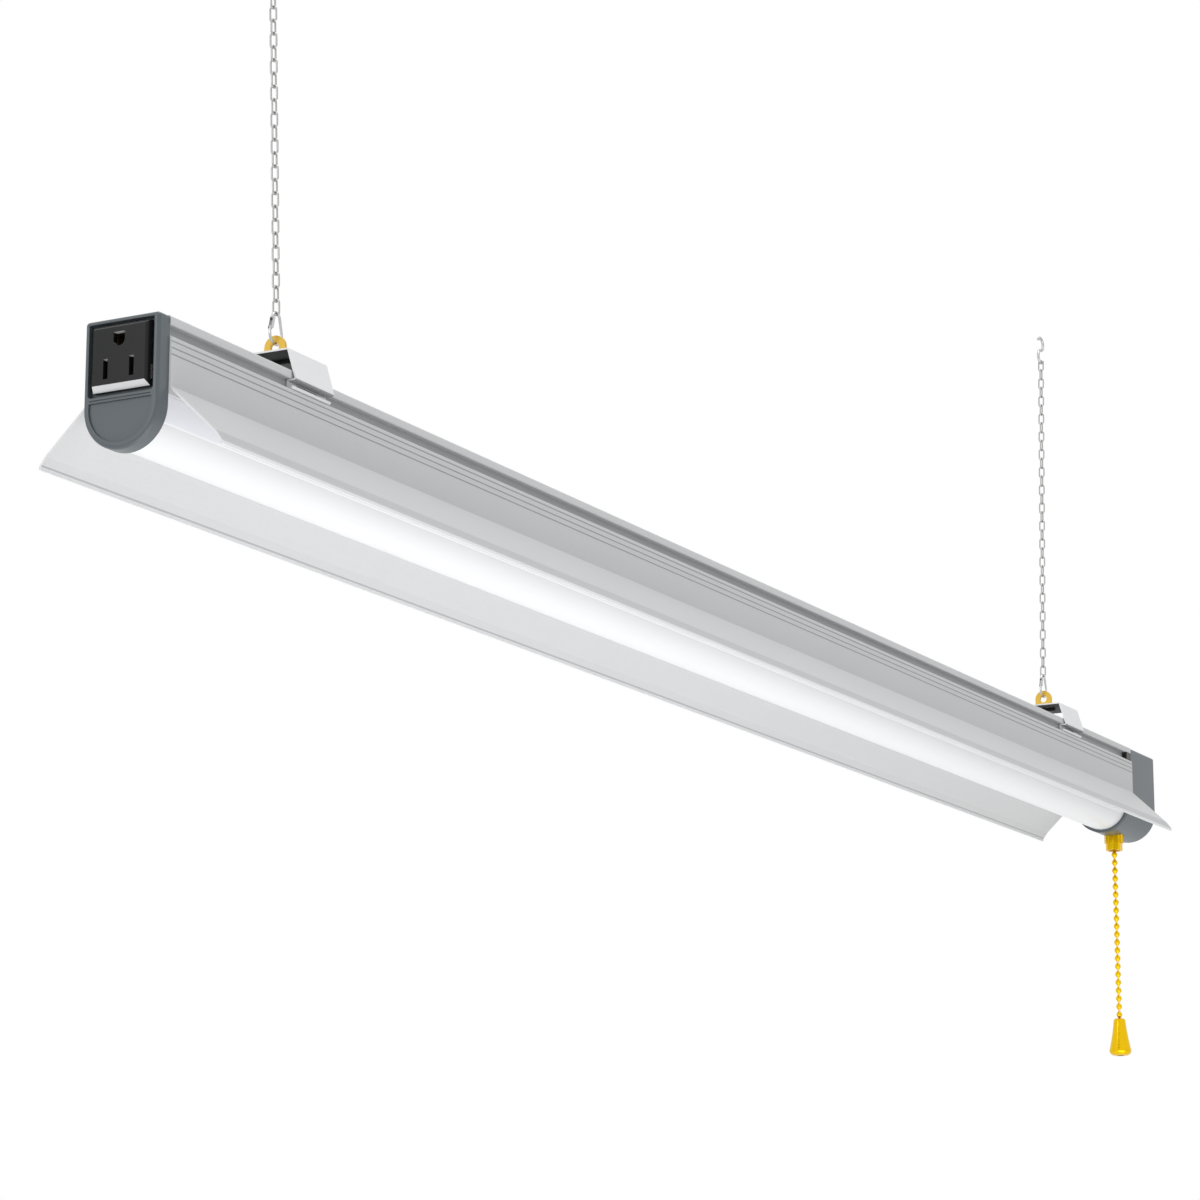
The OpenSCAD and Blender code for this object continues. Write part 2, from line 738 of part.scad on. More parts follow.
// Heights of the pull switch, measured from the channel's top
switch_foot = switch_top + switch_h;
switch_floor = switch_foot - cap_t;
bushing_foot = cap_h + collar_h + barrel_h;
cup_d = bush_bore_d - 4 * run_gap;
cup_foot = bushing_foot - cup_d / 2;
cup_h = cup_d * 0.85;
cup_wall = pin_d * 0.5;
stem_top = cup_foot - cup_h;
flange_top = switch_floor - pull_travel - 2 * spring_turns * spring_wire_d - plunger_d * 0.6;
head_d = pin_d * 1.5;
hole_d = pin_d * 1.3;
ball_wall = ball_d * 0.09;
head_off = ball_d / 2 - ball_wall - head_d / 2 - shaft_gap;
first_ball_depth = bushing_foot + ball_d * 0.7;
knob_gap = ball_d * 0.16;
last_ball = first_ball_depth + ball_count * ball_pitch;
knob_top = last_ball - ball_pitch + ball_d / 2 + knob_gap;

module at_switch() {
    hung() translate([end_x + switch_x, 0, 0]) children();
}

// The switch's case, with the chamber of the plunger and its spring
module switch_body() {
    color("dimgray") at_switch() difference() {
        translate([-switch_len / 2, -switch_w / 2, -switch_foot]) cube([switch_len, switch_w, switch_h]);
        translate([0, 0, -switch_floor]) cylinder(d = barrel_d * 0.7, h = switch_h - 2 * cap_t);
        translate([0, 0, -switch_foot - over]) cylinder(d = plunger_d + 2 * run_gap, h = cap_t + 2 * over);
        translate([0, 0, -switch_foot - over]) cylinder(r = neck_r + shaft_gap, h = cap_t / 2 + over);
    }
}

// The threaded bushing: a ribbed collar that follows the cap, over a barrel with flats
module switch_bushing() {
    rib_count = 12;
    color("gold") at_switch() difference() {
        union() {
            translate([0, 0, -cap_h]) cylinder(r = neck_r, h = cap_h - switch_foot + cap_t / 2);
            difference() {
                translate([0, 0, -cap_h - collar_h]) cylinder(d = collar_d, h = collar_h + cap_t);
                translate([-collar_d, 0, round_z]) rotate([0, 90, 0])
                    cylinder(r = cap_w / 2 + seat_gap / 2, h = 2 * collar_d, $fn = 96);
                for (i = [0 : rib_count - 1]) rotate(i * 360 / rib_count)
                    translate([collar_d / 2, 0, -cap_h - collar_h - over])
                        cylinder(d = collar_d * 0.1, h = collar_h + cap_t + 2 * over);
            }
            translate([0, 0, -bushing_foot]) linear_extrude(barrel_h + collar_h) intersection() {
                circle(d = barrel_d);
                square([barrel_d, barrel_d * 0.9], center = true);
            }
        }
        translate([0, 0, -bushing_foot - over]) cylinder(d = bush_bore_d, h = bushing_foot);
        translate([0, 0, -bushing_foot - over]) cylinder(d = barrel_d * 0.72, h = over + cap_t * 0.3);
    }
}

// A room where a pin's head can swing, over a hole for its shank in a floor of that wall's thickness
module head_seat(wall) {
    translate([0, 0, wall]) cylinder(d = head_d * 1.75, h = head_d * 1.22);
    translate([0, 0, -over]) cylinder(d = hole_d, h = over + wall + head_d * 0.72);
}

module switch_plunger() {
    flange_d = barrel_d * 0.7 - 2 * run_gap;
    flange_t = plunger_d * 0.6;
    color("ivory") at_switch() difference() {
        union() {
            translate([0, 0, -flange_top - flange_t]) cylinder(d = flange_d, h = flange_t);
            translate([0, 0, -stem_top]) cylinder(d = plunger_d, h = stem_top - flange_top);
            translate([0, 0, -cup_foot]) cylinder(d = cup_d, h = cup_h);
        }
        translate([0, 0, -cup_foot]) head_seat(cup_wall);
    }
}

// The plunger's spring: a tube swept along a helix, with closed ends
spring_r = (barrel_d * 0.7) / 2 - spring_wire_d / 2 - run_gap;
spring_foot = switch_floor - spring_wire_d / 2 - shaft_gap;
spring_head = flange_top + plunger_d * 0.6 + spring_wire_d / 2 + shaft_gap;

module switch_spring() {
    sides = 6;
    steps = 10 * spring_turns;
    rise = spring_foot - spring_head;
    slope = atan(rise / (spring_turns * 360 * spring_r * PI / 180));
    points = [for (i = [0 : steps]) let(a = 360 * spring_turns * i / steps)
        for (k = [0 : sides - 1]) let(
            b = 360 * k / sides,
            out = spring_wire_d / 2 * cos(b),
            up = spring_wire_d / 2 * sin(b)
        ) [
            (spring_r + out) * cos(a) + up * sin(slope) * sin(a),
            (spring_r + out) * sin(a) - up * sin(slope) * cos(a),
            up * cos(slope) + rise * i / steps - spring_foot
        ]];
    walls = [for (i = [0 : steps - 1]) for (k = [0 : sides - 1]) let(
        a = i * sides + k,
        b = i * sides + (k + 1) % sides
    ) each [[a, b, a + sides], [b, b + sides, a + sides]]];
    low_end = [for (k = [1 : sides - 2]) [0, k + 1, k]];
    high_end = [for (k = [1 : sides - 2]) [0, k, k + 1] + steps * sides * [1, 1, 1]];
    color("silver") at_switch() polyhedron(points, concat(low_end, walls, high_end));
}

// A hollow ball drawn out to a short neck at its top and its foot, where the pins pass through flared holes
module chain_ball() {
    neck_foot = ball_d * 0.38;
    neck_top = ball_d * 0.57;
    flare_foot = ball_d / 2 - ball_wall;
    difference() {
        union() {
            sphere(d = ball_d);
            for (flip = [0, 1]) mirror([0, 0, flip]) translate([0, 0, neck_foot])
                cylinder(r1 = ball_d * 0.325, r2 = ball_d * 0.22, h = neck_top - neck_foot);
        }
        sphere(d = ball_d - 2 * ball_wall);
        cylinder(d = hole_d, h = ball_d + over, center = true);
        for (flip = [0, 1]) mirror([0, 0, flip]) translate([0, 0, flare_foot])
            cylinder(d1 = hole_d, d2 = hole_d * 1.25, h = ball_d / 2 - flare_foot + ball_d * 0.12);
    }
}

// A pin with a round head at each end, drawn from its lower head up
module ball_pin(l) {
    cylinder(d = pin_d, h = l);
    for (z = [0, l]) translate([0, 0, z]) sphere(d = head_d);
}

cup_head_z = -cup_foot + cup_wall + head_d * 0.62;

module first_ball() {
    color("gold") at_switch() translate([0, 0, -first_ball_depth]) {
        chain_ball();
        translate([0, 0, head_off]) ball_pin(cup_head_z + first_ball_depth - head_off);
    }
}

module pull_balls() {
    color("gold") at_switch() for (i = [1 : ball_count])
        translate([0, 0, -first_ball_depth - i * ball_pitch]) chain_ball();
}

module pull_pins() {
    color("goldenrod") at_switch() for (i = [1 : ball_count])
        translate([0, 0, -first_ball_depth - i * ball_pitch + head_off]) ball_pin(ball_pitch - 2 * head_off);
}

// The bell-shaped knob, turned round its own axis, hangs on the lowest ball
module pull_knob() {
    knob_bore_r = ball_d / 2 + 2 * run_gap;
    mouth_r = ball_d * 0.45;
    seat_z = sqrt(pow(ball_d / 2, 2) - pow(mouth_r, 2)) + shaft_gap;
    roof_z = last_ball - knob_top;
    foot_round = knob_foot_d * 0.24;
    crown = knob_top_d * 0.2;
    flare = knob_foot_d / 2 - knob_top_d / 2;
    bell_h = knob_h - foot_round - crown;
    color("gold") at_switch() translate([0, 0, -knob_top]) rotate_extrude() difference() {
        polygon(concat(
            [[0, 0], [knob_top_d / 2 - crown, 0]],
            [for (a = [60, 30, 0]) [knob_top_d / 2 - crown + crown * cos(a), -crown + crown * sin(a)]],
            [for (s = [0.2 : 0.2 : 0.8])
                [knob_top_d / 2 + flare * s * (0.6 + 0.4 * s), -crown - bell_h * s]],
            [for (a = [0 : -15 : -90]) [knob_foot_d / 2 - foot_round * (1 - cos(a)),
                foot_round * (1 + sin(a)) - knob_h]],
            [[0, -knob_h]]
        ));
        translate([0, -knob_h - over]) square([knob_bore_r, knob_h + over - roof_z + seat_z]);
        polygon([[0, -knob_h], [mouth_r, -knob_h], [mouth_r, seat_z - roof_z], [mouth_r * 1.15, 0],
            [mouth_r * 1.15, over], [0, over]]);
    }
}

// The bent path of half a clip, from the middle of its top to the turned-up lip in the groove
clip_foot_y = flange_w / 2 + clip_side_gap + clip_t / 2;
clip_seat_z = -flange_h - link_play - clip_t / 2;
clip_lip_z = -groove_foot + sheet_t + run_gap + clip_t / 2;
clip_back_y = groove_back + run_gap + clip_t / 2;
half_clip = [
    [0, clip_rise - clip_t / 2],
    [clip_top_w / 2, clip_rise - clip_t / 2],
    [clip_foot_y, clip_seat_z],
    [clip_back_y, clip_seat_z],
    [clip_back_y, clip_lip_z],
    [flange_w / 2, clip_lip_z],
    [flange_w / 2, clip_lip_z + clip_t * 1.1]
];
clip_path = concat([for (i = [6 : -1 : 1]) [-half_clip[i][0], half_clip[i][1]]],
    [for (i = [1 : 6]) half_clip[i]]);

module spring_clip(way) {
    slot_w = ear_t + 2 * shaft_gap;
    window_len = clip_len * 0.55;
    color("white") hung() translate([way * clip_span / 2, 0, 0]) difference() {
        along_x(-clip_len / 2, clip_len) polygon(strip(bent(clip_path, clip_t * 0.75, 3), clip_t));
        translate([-slot_w / 2, -ear_w / 2 - shaft_gap, clip_rise - clip_t - over])
            cube([slot_w, ear_w + 2 * shaft_gap, clip_t + 2 * over]);
        both_sides() translate([-window_len / 2, clip_back_y - clip_t, clip_lip_z + clip_t])
            cube([window_len, 2 * clip_t, clip_seat_z - clip_lip_z - 2 * clip_t]);
    }
}

module clip_left() {
    spring_clip(LEFT);
}

module clip_right() {
    spring_clip(RIGHT);
}

// A flat ear that stands up through a slot in the clip, held by a wider head under the clip's top
module ear(way) {
    head_h = ear_t * 0.8;
    color("gold") hung() translate([way * clip_span / 2, 0, 0]) {
        difference() {
            translate([-ear_t / 2, 0, 0]) rotate([90, 0, 90]) linear_extrude(ear_t) union() {
                translate([0, hole_z]) circle(d = ear_w);
                translate([-ear_w / 2, clip_rise - clip_t - head_h])
                    square([ear_w, hole_z - clip_rise + clip_t + head_h]);
                translate([-ear_w * 0.7, clip_rise - clip_t - head_h]) square([ear_w * 1.4, head_h]);
            }
            translate([-ear_t, 0, hole_z]) rotate([0, 90, 0]) cylinder(d = ear_hole_d, h = 2 * ear_t);
        }
    }
}

module ear_left() {
    ear(LEFT);
}

module ear_right() {
    ear(RIGHT);
}

// The carabiner: two bends of wire joined by straight legs, seen in the XZ plane
bend_span = top_wire_z - low_wire_z - top_bend_r - low_bend_r;
leg_tilt = asin((low_bend_r - top_bend_r) / bend_span);
leg_len = sqrt(pow(bend_span, 2) - pow(low_bend_r - top_bend_r, 2));
gate_play = link_play;
stub_len = leg_len * 0.14;
nose_len = leg_len * 0.16;
gate_wall = (gate_d - hook_wire_d) / 2 - gate_play;

// Places what is drawn along +Z, with zero at the lower end of the gate's leg
module on_gate_leg() {
    translate([0, 0, low_wire_z + low_bend_r]) rotate([0, leg_tilt, 0]) translate([-low_bend_r, 0, 0])
        children();
}

module at_carabiner(way) {
    hung() translate([way * clip_span / 2, 0, 0]) children();
}

module carabiner(way) {
    swell_d = hook_wire_d * 1.06;
    color("silver") at_carabiner(way) difference() {
        union() {
            translate([0, 0, low_wire_z + low_bend_r])
                wire_bend(low_bend_r, hook_wire_d, 180 - leg_tilt, 180 + 2 * leg_tilt);
            translate([0, 0, top_wire_z - top_bend_r])
                wire_bend(top_bend_r, hook_wire_d, leg_tilt, 180 - 2 * leg_tilt);
            for (flip = [0, 1], z = [0, leg_len]) mirror([flip, 0, 0]) on_gate_leg()
                translate([0, 0, z]) sphere(d = swell_d);
            mirror([1, 0, 0]) on_gate_leg() cylinder(d = hook_wire_d, h = leg_len);
            on_gate_leg() {
                cylinder(d = hook_wire_d, h = stub_len + hook_wire_d / 2);
                translate([0, 0, leg_len - nose_len]) cylinder(d = hook_wire_d, h = nose_len);
            }
        }
        on_gate_leg() translate([0, 0, stub_len]) rotate([90, 0, 0])
            cylinder(d = pin_d * 0.6, h = 2 * hook_wire_d, center = true);
    }
}

module carabiner_left() {
    carabiner(LEFT);
}

module carabiner_right() {
    carabiner(RIGHT);
}

// The gate is a small channel that closes over the carabiner's nose from inside
module gate(way) {
    slot_w = hook_wire_d + 2 * gate_play;
    back_t = gate_wall * 1.5;
    gate_top = leg_len - nose_len * 0.3;
    eye_r = hook_wire_d / 2;
    back_z = stub_len + eye_r / 2;
    color("lightgray") at_carabiner(way) on_gate_leg() difference() {
        union() {
            translate([-eye_r * 0.6, -slot_w / 2 - gate_wall, back_z])
                cube([eye_r * 1.6 + gate_play + back_t, slot_w + 2 * gate_wall, gate_top - back_z]);
            translate([0, 0, stub_len]) rotate([90, 0, 0])
                cylinder(r = eye_r, h = slot_w + 2 * gate_wall, center = true);
        }
        translate([-hook_wire_d, -slot_w / 2, stub_len - hook_wire_d])
            cube([hook_wire_d + eye_r + gate_play, slot_w, leg_len + hook_wire_d]);
        translate([0, 0, stub_len]) rotate([90, 0, 0])
            cylinder(d = pin_d * 0.6, h = 2 * hook_wire_d, center = true);
    }
}

module gate_left() {
    gate(LEFT);
}

module gate_right() {
    gate(RIGHT);
}

module gate_pins() {
    pin_len = hook_wire_d + 2 * (gate_play + gate_wall);
    color("silver") for (way = [LEFT, RIGHT]) at_carabiner(way) on_gate_leg()
        translate([0, 0, stub_len]) rotate([90, 0, 0])
            cylinder(d = pin_d * 0.6 - shaft_gap, h = pin_len, center = true);
}

// One link in the XZ plane, with its middle at the origin
module link() {
    bend = (link_w - link_wire_d) / 2;
    half = link_len / 2 - link_wire_d / 2 - bend;
    for (flip = [0, 1]) mirror([0, 0, flip]) translate([0, 0, half]) wire_bend(bend, link_wire_d, 0, 180);
    for (x = [-bend, bend]) translate([x, 0, -half]) cylinder(d = link_wire_d, h = 2 * half);
}

// A chain leans away from the light's middle; its links stand across and along in turn
module chain(way) {
    color("darkgray") at_carabiner(way) translate([0, 0, top_wire_z]) rotate([0, way * chain_lean, 0])
        for (i = [0 : link_count - 1])
            translate([0, 0, i * link_pitch + (link_len - link_wire_d) / 2 - first_wire_drop])
                rotate(i % 2 == 0 ? 90 : 0) link();
}

module chain_left() {
    chain(LEFT);
}

module chain_right() {
    chain(RIGHT);
}

// A ceiling hook: two open bends of wire that meet in the shape of an S
module ceiling_hook(way) {
    sweep = 235;
    color("silver") hung() translate([way * hook_x, 0, hook_z]) {
        translate([0, 0, s_bend_r]) wire_bend(s_bend_r, s_wire_d, 90, sweep);
        translate([0, 0, 3 * s_bend_r]) wire_bend(s_bend_r, s_wire_d, 270, sweep);
    }
}

module hook_left() {
    ceiling_hook(LEFT);
}

module hook_right() {
    ceiling_hook(RIGHT);
}

channel();
reflector_front();
reflector_back();
diffuser();
led_board();
led_packages();
board_screws();
driver_case();
driver_board();
through_wires();
groove_stops();
outlet_end_cap();
outlet_module();
outlet_contacts();
outlet_cap_screws();
switch_end_cap();
switch_cap_screws();
cord_gland();
switch_body();
switch_bushing();
switch_plunger();
switch_spring();
first_ball();
pull_balls();
pull_pins();
pull_knob();
clip_left();
clip_right();
ear_left();
ear_right();
carabiner_left();
carabiner_right();
gate_left();
gate_right();
gate_pins();
chain_left();
chain_right();
hook_left();
hook_right();
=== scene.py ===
"""A hanging shop light: enamelled channel and reflectors, frosted diffuser, end caps and chains."""

import math

import bpy
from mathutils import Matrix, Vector


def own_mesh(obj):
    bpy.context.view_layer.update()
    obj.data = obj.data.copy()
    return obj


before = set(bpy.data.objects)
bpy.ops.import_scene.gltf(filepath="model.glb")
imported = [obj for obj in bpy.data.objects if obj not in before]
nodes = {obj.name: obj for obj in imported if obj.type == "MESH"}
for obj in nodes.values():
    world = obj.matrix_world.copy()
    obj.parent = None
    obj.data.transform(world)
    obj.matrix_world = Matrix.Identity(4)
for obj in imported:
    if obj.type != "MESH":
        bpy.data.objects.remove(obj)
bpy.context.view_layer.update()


# The camera stands below the light and in front of its outlet end, and looks up along it.
# Its place, turn and lens follow the light's own straight edges.
def aim_camera(place, yaw_deg, pitch_deg, lens_mm):
    """A camera at place that looks yaw_deg to the left of +X and pitch_deg above the horizon.

    Its view line is (cos yaw x cos pitch, sin yaw x cos pitch, sin pitch).
    """
    yaw, pitch = math.radians(yaw_deg), math.radians(pitch_deg)
    level = math.cos(pitch)
    forward = Vector((math.cos(yaw) * level, math.sin(yaw) * level, math.sin(pitch)))
    data = bpy.data.cameras.new("camera")
    data.lens = lens_mm
    data.sensor_width = 36.0
    data.clip_start, data.clip_end = 0.05, 50.0
    camera = bpy.data.objects.new("camera", data)
    bpy.context.scene.collection.objects.link(camera)
    camera.location = place
    camera.rotation_mode = "QUATERNION"
    camera.rotation_quaternion = forward.to_track_quat("-Z", "Y")
    bpy.context.scene.camera = camera


aim_camera(place=(-1.7275, -0.8544, -0.6981), yaw_deg=28.415, pitch_deg=12.729, lens_mm=111.92)


# The floor and the light that falls on the object: a plain pale floor well below it, an even
# sky, and broad soft lamps. The background is white by its own colour.
def seen_only(tree, lit_shader, seen_shader):
    """Mixes two shaders: the camera, glossy and clear rays meet seen_shader, all else lit_shader.

    The share of seen_shader is the largest of the three rays' flags.
    """
    paths = tree.nodes.new("ShaderNodeLightPath")
    one = tree.nodes.new("ShaderNodeMath")
    one.operation = "MAXIMUM"
    both = tree.nodes.new("ShaderNodeMath")
    both.operation = "MAXIMUM"
    tree.links.new(paths.outputs["Is Camera Ray"], one.inputs[0])
    tree.links.new(paths.outputs["Is Glossy Ray"], one.inputs[1])
    tree.links.new(one.outputs[0], both.inputs[0])
    tree.links.new(paths.outputs["Is Transmission Ray"], both.inputs[1])
    mix = tree.nodes.new("ShaderNodeMixShader")
    tree.links.new(both.outputs[0], mix.inputs[0])
    tree.links.new(lit_shader, mix.inputs[1])
    tree.links.new(seen_shader, mix.inputs[2])
    return mix.outputs[0]


def make_sky(strength):
    """An even sky whose light is strength times a cool white, and which looks white itself."""
    world = bpy.data.worlds.new("sky")
    bpy.context.scene.world = world
    world.use_nodes = True
    tree = world.node_tree
    tree.nodes.clear()
    lit = tree.nodes.new("ShaderNodeBackground")
    lit.inputs["Color"].default_value = (0.96, 0.98, 1.0, 1.0)
    lit.inputs["Strength"].default_value = strength
    seen = tree.nodes.new("ShaderNodeBackground")
    seen.inputs["Color"].default_value = (1.0, 1.0, 1.0, 1.0)
    out = tree.nodes.new("ShaderNodeOutputWorld")
    tree.links.new(seen_only(tree, lit.outputs[0], seen.outputs[0]), out.inputs["Surface"])


def make_floor(z, half, lift):
    """A flat square floor at height z, pale and matte, which looks paler by lift than it is lit.

    Its underside is clear, so that the light is seen from below as well.
    """
    mesh = bpy.data.meshes.new("floor")
    corners = [(-half, -half, z), (half, -half, z), (half, half, z), (-half, half, z)]
    mesh.from_pydata(corners, [], [(0, 1, 2, 3)])
    material = bpy.data.materials.new("pale_floor")
    material.use_nodes = True
    tree = material.node_tree
    lit = tree.nodes["Principled BSDF"]
    seen = tree.nodes.new("ShaderNodeBsdfPrincipled")
    for shader in (lit, seen):
        shader.inputs["Base Color"].default_value = (0.86, 0.86, 0.86, 1.0)
        shader.inputs["Roughness"].default_value = 0.9
    seen.inputs["Emission Color"].default_value = (1.0, 1.0, 1.0, 1.0)
    seen.inputs["Emission Strength"].default_value = lift
    sides = tree.nodes.new("ShaderNodeMixShader")
    tree.links.new(tree.nodes.new("ShaderNodeNewGeometry").outputs["Backfacing"], sides.inputs[0])
    tree.links.new(seen_only(tree, lit.outputs[0], seen.outputs[0]), sides.inputs[1])
    tree.links.new(tree.nodes.new("ShaderNodeBsdfTransparent").outputs[0], sides.inputs[2])
    tree.links.new(sides.outputs[0], tree.nodes["Material Output"].inputs["Surface"])
    mesh.materials.append(material)
    floor = bpy.data.objects.new("floor", mesh)
    bpy.context.scene.collection.objects.link(floor)


def soft_lamp(name, place, target, size, watts):
    """A square area lamp at place that faces target, unseen by the camera itself."""
    data = bpy.data.lights.new(name, "AREA")
    data.size = size
    data.energy = watts
    lamp = bpy.data.objects.new(name, data)
    bpy.context.scene.collection.objects.link(lamp)
    lamp.visible_camera = False
    lamp.location = place
    lamp.rotation_mode = "QUATERNION"
    lamp.rotation_quaternion = (Vector(target) - Vector(place)).to_track_quat("-Z", "Y")


make_sky(strength=0.50)
make_floor(z=-1.35, half=20.0, lift=0.44)
soft_lamp("lamp_above", place=(-0.3, -0.5, 1.9), target=(0.0, 0.0, -0.25), size=1.8, watts=24.0)
soft_lamp("lamp_below", place=(-0.2, -0.35, -1.25), target=(0.0, 0.0, -0.3), size=1.4, watts=9.0)
soft_lamp("lamp_outlet_end", place=(-2.4, 0.5, 0.2), target=(-0.2, 0.0, -0.3), size=1.2, watts=9.0)
bpy.context.scene.view_settings.view_transform = "Standard"


# The channel is extruded aluminium under white powder enamel, which shows a fine even grain and faint
# drawing streaks along its length. Inside the grooves a painted shade makes it darker, and darker still
# just under the grooves' roofs.
def new_group(name, inputs, outputs):
    """An empty shader group with the named sockets; returns its tree, input and output nodes."""
    tree = bpy.data.node_groups.new(name, "ShaderNodeTree")
    for label, kind, value in inputs:
        socket = tree.interface.new_socket(name=label, in_out="INPUT", socket_type=kind)
        socket.default_value = value
    for label, kind in outputs:
        tree.interface.new_socket(name=label, in_out="OUTPUT", socket_type=kind)
    return tree, tree.nodes.new("NodeGroupInput"), tree.nodes.new("NodeGroupOutput")


def noise_at(tree, coordinates, scale, detail):
    """A noise texture read at coordinates, with its scale in features per metre."""
    noise = tree.nodes.new("ShaderNodeTexNoise")
    noise.inputs["Detail"].default_value = detail
    tree.links.new(coordinates, noise.inputs["Vector"])
    if isinstance(scale, float):
        noise.inputs["Scale"].default_value = scale
    else:
        tree.links.new(scale, noise.inputs["Scale"])
    return noise.outputs["Fac"]


def math_of(tree, operation, first, second=0.0):
    """One Math node; each operand is a socket or a number."""
    node = tree.nodes.new("ShaderNodeMath")
    node.operation = operation
    for operand_no, value in enumerate((first, second)):
        if isinstance(value, float):
            node.inputs[operand_no].default_value = value
        else:
            tree.links.new(value, node.inputs[operand_no])
    return node.outputs[0]


def tint_by(tree, colour, factor):
    """A colour times one grey factor."""
    scale = tree.nodes.new("ShaderNodeVectorMath")
    scale.operation = "SCALE"
    tree.links.new(colour, scale.inputs[0])
    tree.links.new(factor, scale.inputs["Scale"])
    return scale.outputs[0]


def stretched(tree, source, along_x):
    """Object coordinates squeezed along X, so that a noise read there runs in streaks along X."""
    mapping = tree.nodes.new("ShaderNodeMapping")
    mapping.inputs["Scale"].default_value = (along_x, 1.0, 1.0)
    tree.links.new(source, mapping.inputs["Vector"])
    return mapping.outputs[0]


def make_grain_group():
    """Grain: speckle = noise at Grain Scale; cloud = broad noise; streak = noise drawn out along X.

    Color = Color x (1 + Speckle x (speckle - 0.5) + Cloud x (cloud - 0.5) + Streak x (streak - 0.5)),
    Roughness = Roughness + Cloud x (cloud - 0.5), Normal = a bump of the speckle, Relief high.
    """
    tree, ins, outs = new_group(
        "surface_grain",
        [("Color", "NodeSocketColor", (0.8, 0.8, 0.8, 1.0)), ("Roughness", "NodeSocketFloat", 0.5),
         ("Grain Scale", "NodeSocketFloat", 1500.0), ("Speckle", "NodeSocketFloat", 0.05),
         ("Cloud", "NodeSocketFloat", 0.04), ("Streak", "NodeSocketFloat", 0.0),
         ("Relief", "NodeSocketFloat", 0.00002)],
        [("Color", "NodeSocketColor"), ("Roughness", "NodeSocketFloat"), ("Normal", "NodeSocketVector")])
    place = tree.nodes.new("ShaderNodeTexCoord").outputs["Object"]
    speckle = noise_at(tree, place, ins.outputs["Grain Scale"], detail=2.0)
    cloud = noise_at(tree, place, scale=22.0, detail=4.0)
    streak = noise_at(tree, stretched(tree, place, along_x=0.012), scale=900.0, detail=3.0)
    total = 1.0
    for field, amount in ((speckle, "Speckle"), (cloud, "Cloud"), (streak, "Streak")):
        swing = math_of(tree, "SUBTRACT", field, 0.5)
        total = math_of(tree, "ADD", math_of(tree, "MULTIPLY", swing, ins.outputs[amount]), total)
    tree.links.new(tint_by(tree, ins.outputs["Color"], total), outs.inputs["Color"])
    patchy = math_of(tree, "MULTIPLY", math_of(tree, "SUBTRACT", cloud, 0.5), ins.outputs["Cloud"])
    rough = math_of(tree, "ADD", ins.outputs["Roughness"], patchy)
    tree.links.new(rough, outs.inputs["Roughness"])
    bump = tree.nodes.new("ShaderNodeBump")
    bump.inputs["Strength"].default_value = 1.0
    tree.links.new(ins.outputs["Relief"], bump.inputs["Distance"])
    tree.links.new(speckle, bump.inputs["Height"])
    tree.links.new(bump.outputs["Normal"], outs.inputs["Normal"])
    return tree


def make_between_group():
    """Between: Mask = 1 where Low < Value < High, and falls to 0 over the width Soft at each end."""
    number = "NodeSocketFloat"
    tree, ins, outs = new_group(
        "between", [("Value", number, 0.0), ("Low", number, 0.0), ("High", number, 1.0),
                    ("Soft", number, 0.001)], [("Mask", number)])
    steps = []
    for upper, lower in (("Value", "Low"), ("High", "Value")):
        gap = math_of(tree, "SUBTRACT", ins.outputs[upper], ins.outputs[lower])
        step = math_of(tree, "ADD", math_of(tree, "DIVIDE", gap, ins.outputs["Soft"]), 0.5)
        step.node.use_clamp = True
        steps.append(step)
    tree.links.new(math_of(tree, "MULTIPLY", *steps), outs.inputs["Mask"])
    return tree


grain_group = make_grain_group()
between_group = make_between_group()


def finish_of(name, colour, roughness, metallic=0.0, grain=1500.0, speckle=0.05, cloud=0.05,
              streak=0.0, relief=0.00002, specular=0.5):
    """A Principled material whose colour, roughness and normal come through the grain group."""
    material = bpy.data.materials.new(name)
    material.use_nodes = True
    tree = material.node_tree
    shader = tree.nodes["Principled BSDF"]
    shader.inputs["Metallic"].default_value = metallic
    shader.inputs["Specular IOR Level"].default_value = specular
    group = tree.nodes.new("ShaderNodeGroup")
    group.node_tree = grain_group
    values = {"Color": (*colour, 1.0), "Roughness": roughness, "Grain Scale": grain,
              "Speckle": speckle, "Cloud": cloud, "Streak": streak, "Relief": relief}
    for label, value in values.items():
        group.inputs[label].default_value = value
    tree.links.new(group.outputs["Color"], shader.inputs["Base Color"])
    tree.links.new(group.outputs["Roughness"], shader.inputs["Roughness"])
    tree.links.new(group.outputs["Normal"], shader.inputs["Normal"])
    return material


def dress(material, *names):
    """Gives the named CAD nodes this one material."""
    for name in names:
        mesh = nodes[name].data
        mesh.materials.clear()
        mesh.materials.append(material)


def parts_of(tree, kind):
    """The X, Y and Z of the object coordinates (kind Object) or of the surface's facing (Normal)."""
    split = tree.nodes.new("ShaderNodeSeparateXYZ")
    tree.links.new(tree.nodes.new("ShaderNodeTexCoord").outputs[kind], split.inputs[0])
    return split.outputs[0], split.outputs[1], split.outputs[2]


def zone(tree, value, low, high, soft):
    """The mask of the zone where value lies between low and high, with ends soft wide."""
    group = tree.nodes.new("ShaderNodeGroup")
    group.node_tree = between_group
    tree.links.new(value, group.inputs["Value"])
    for label, number in (("Low", low), ("High", high), ("Soft", soft)):
        group.inputs[label].default_value = number
    return group.outputs["Mask"]


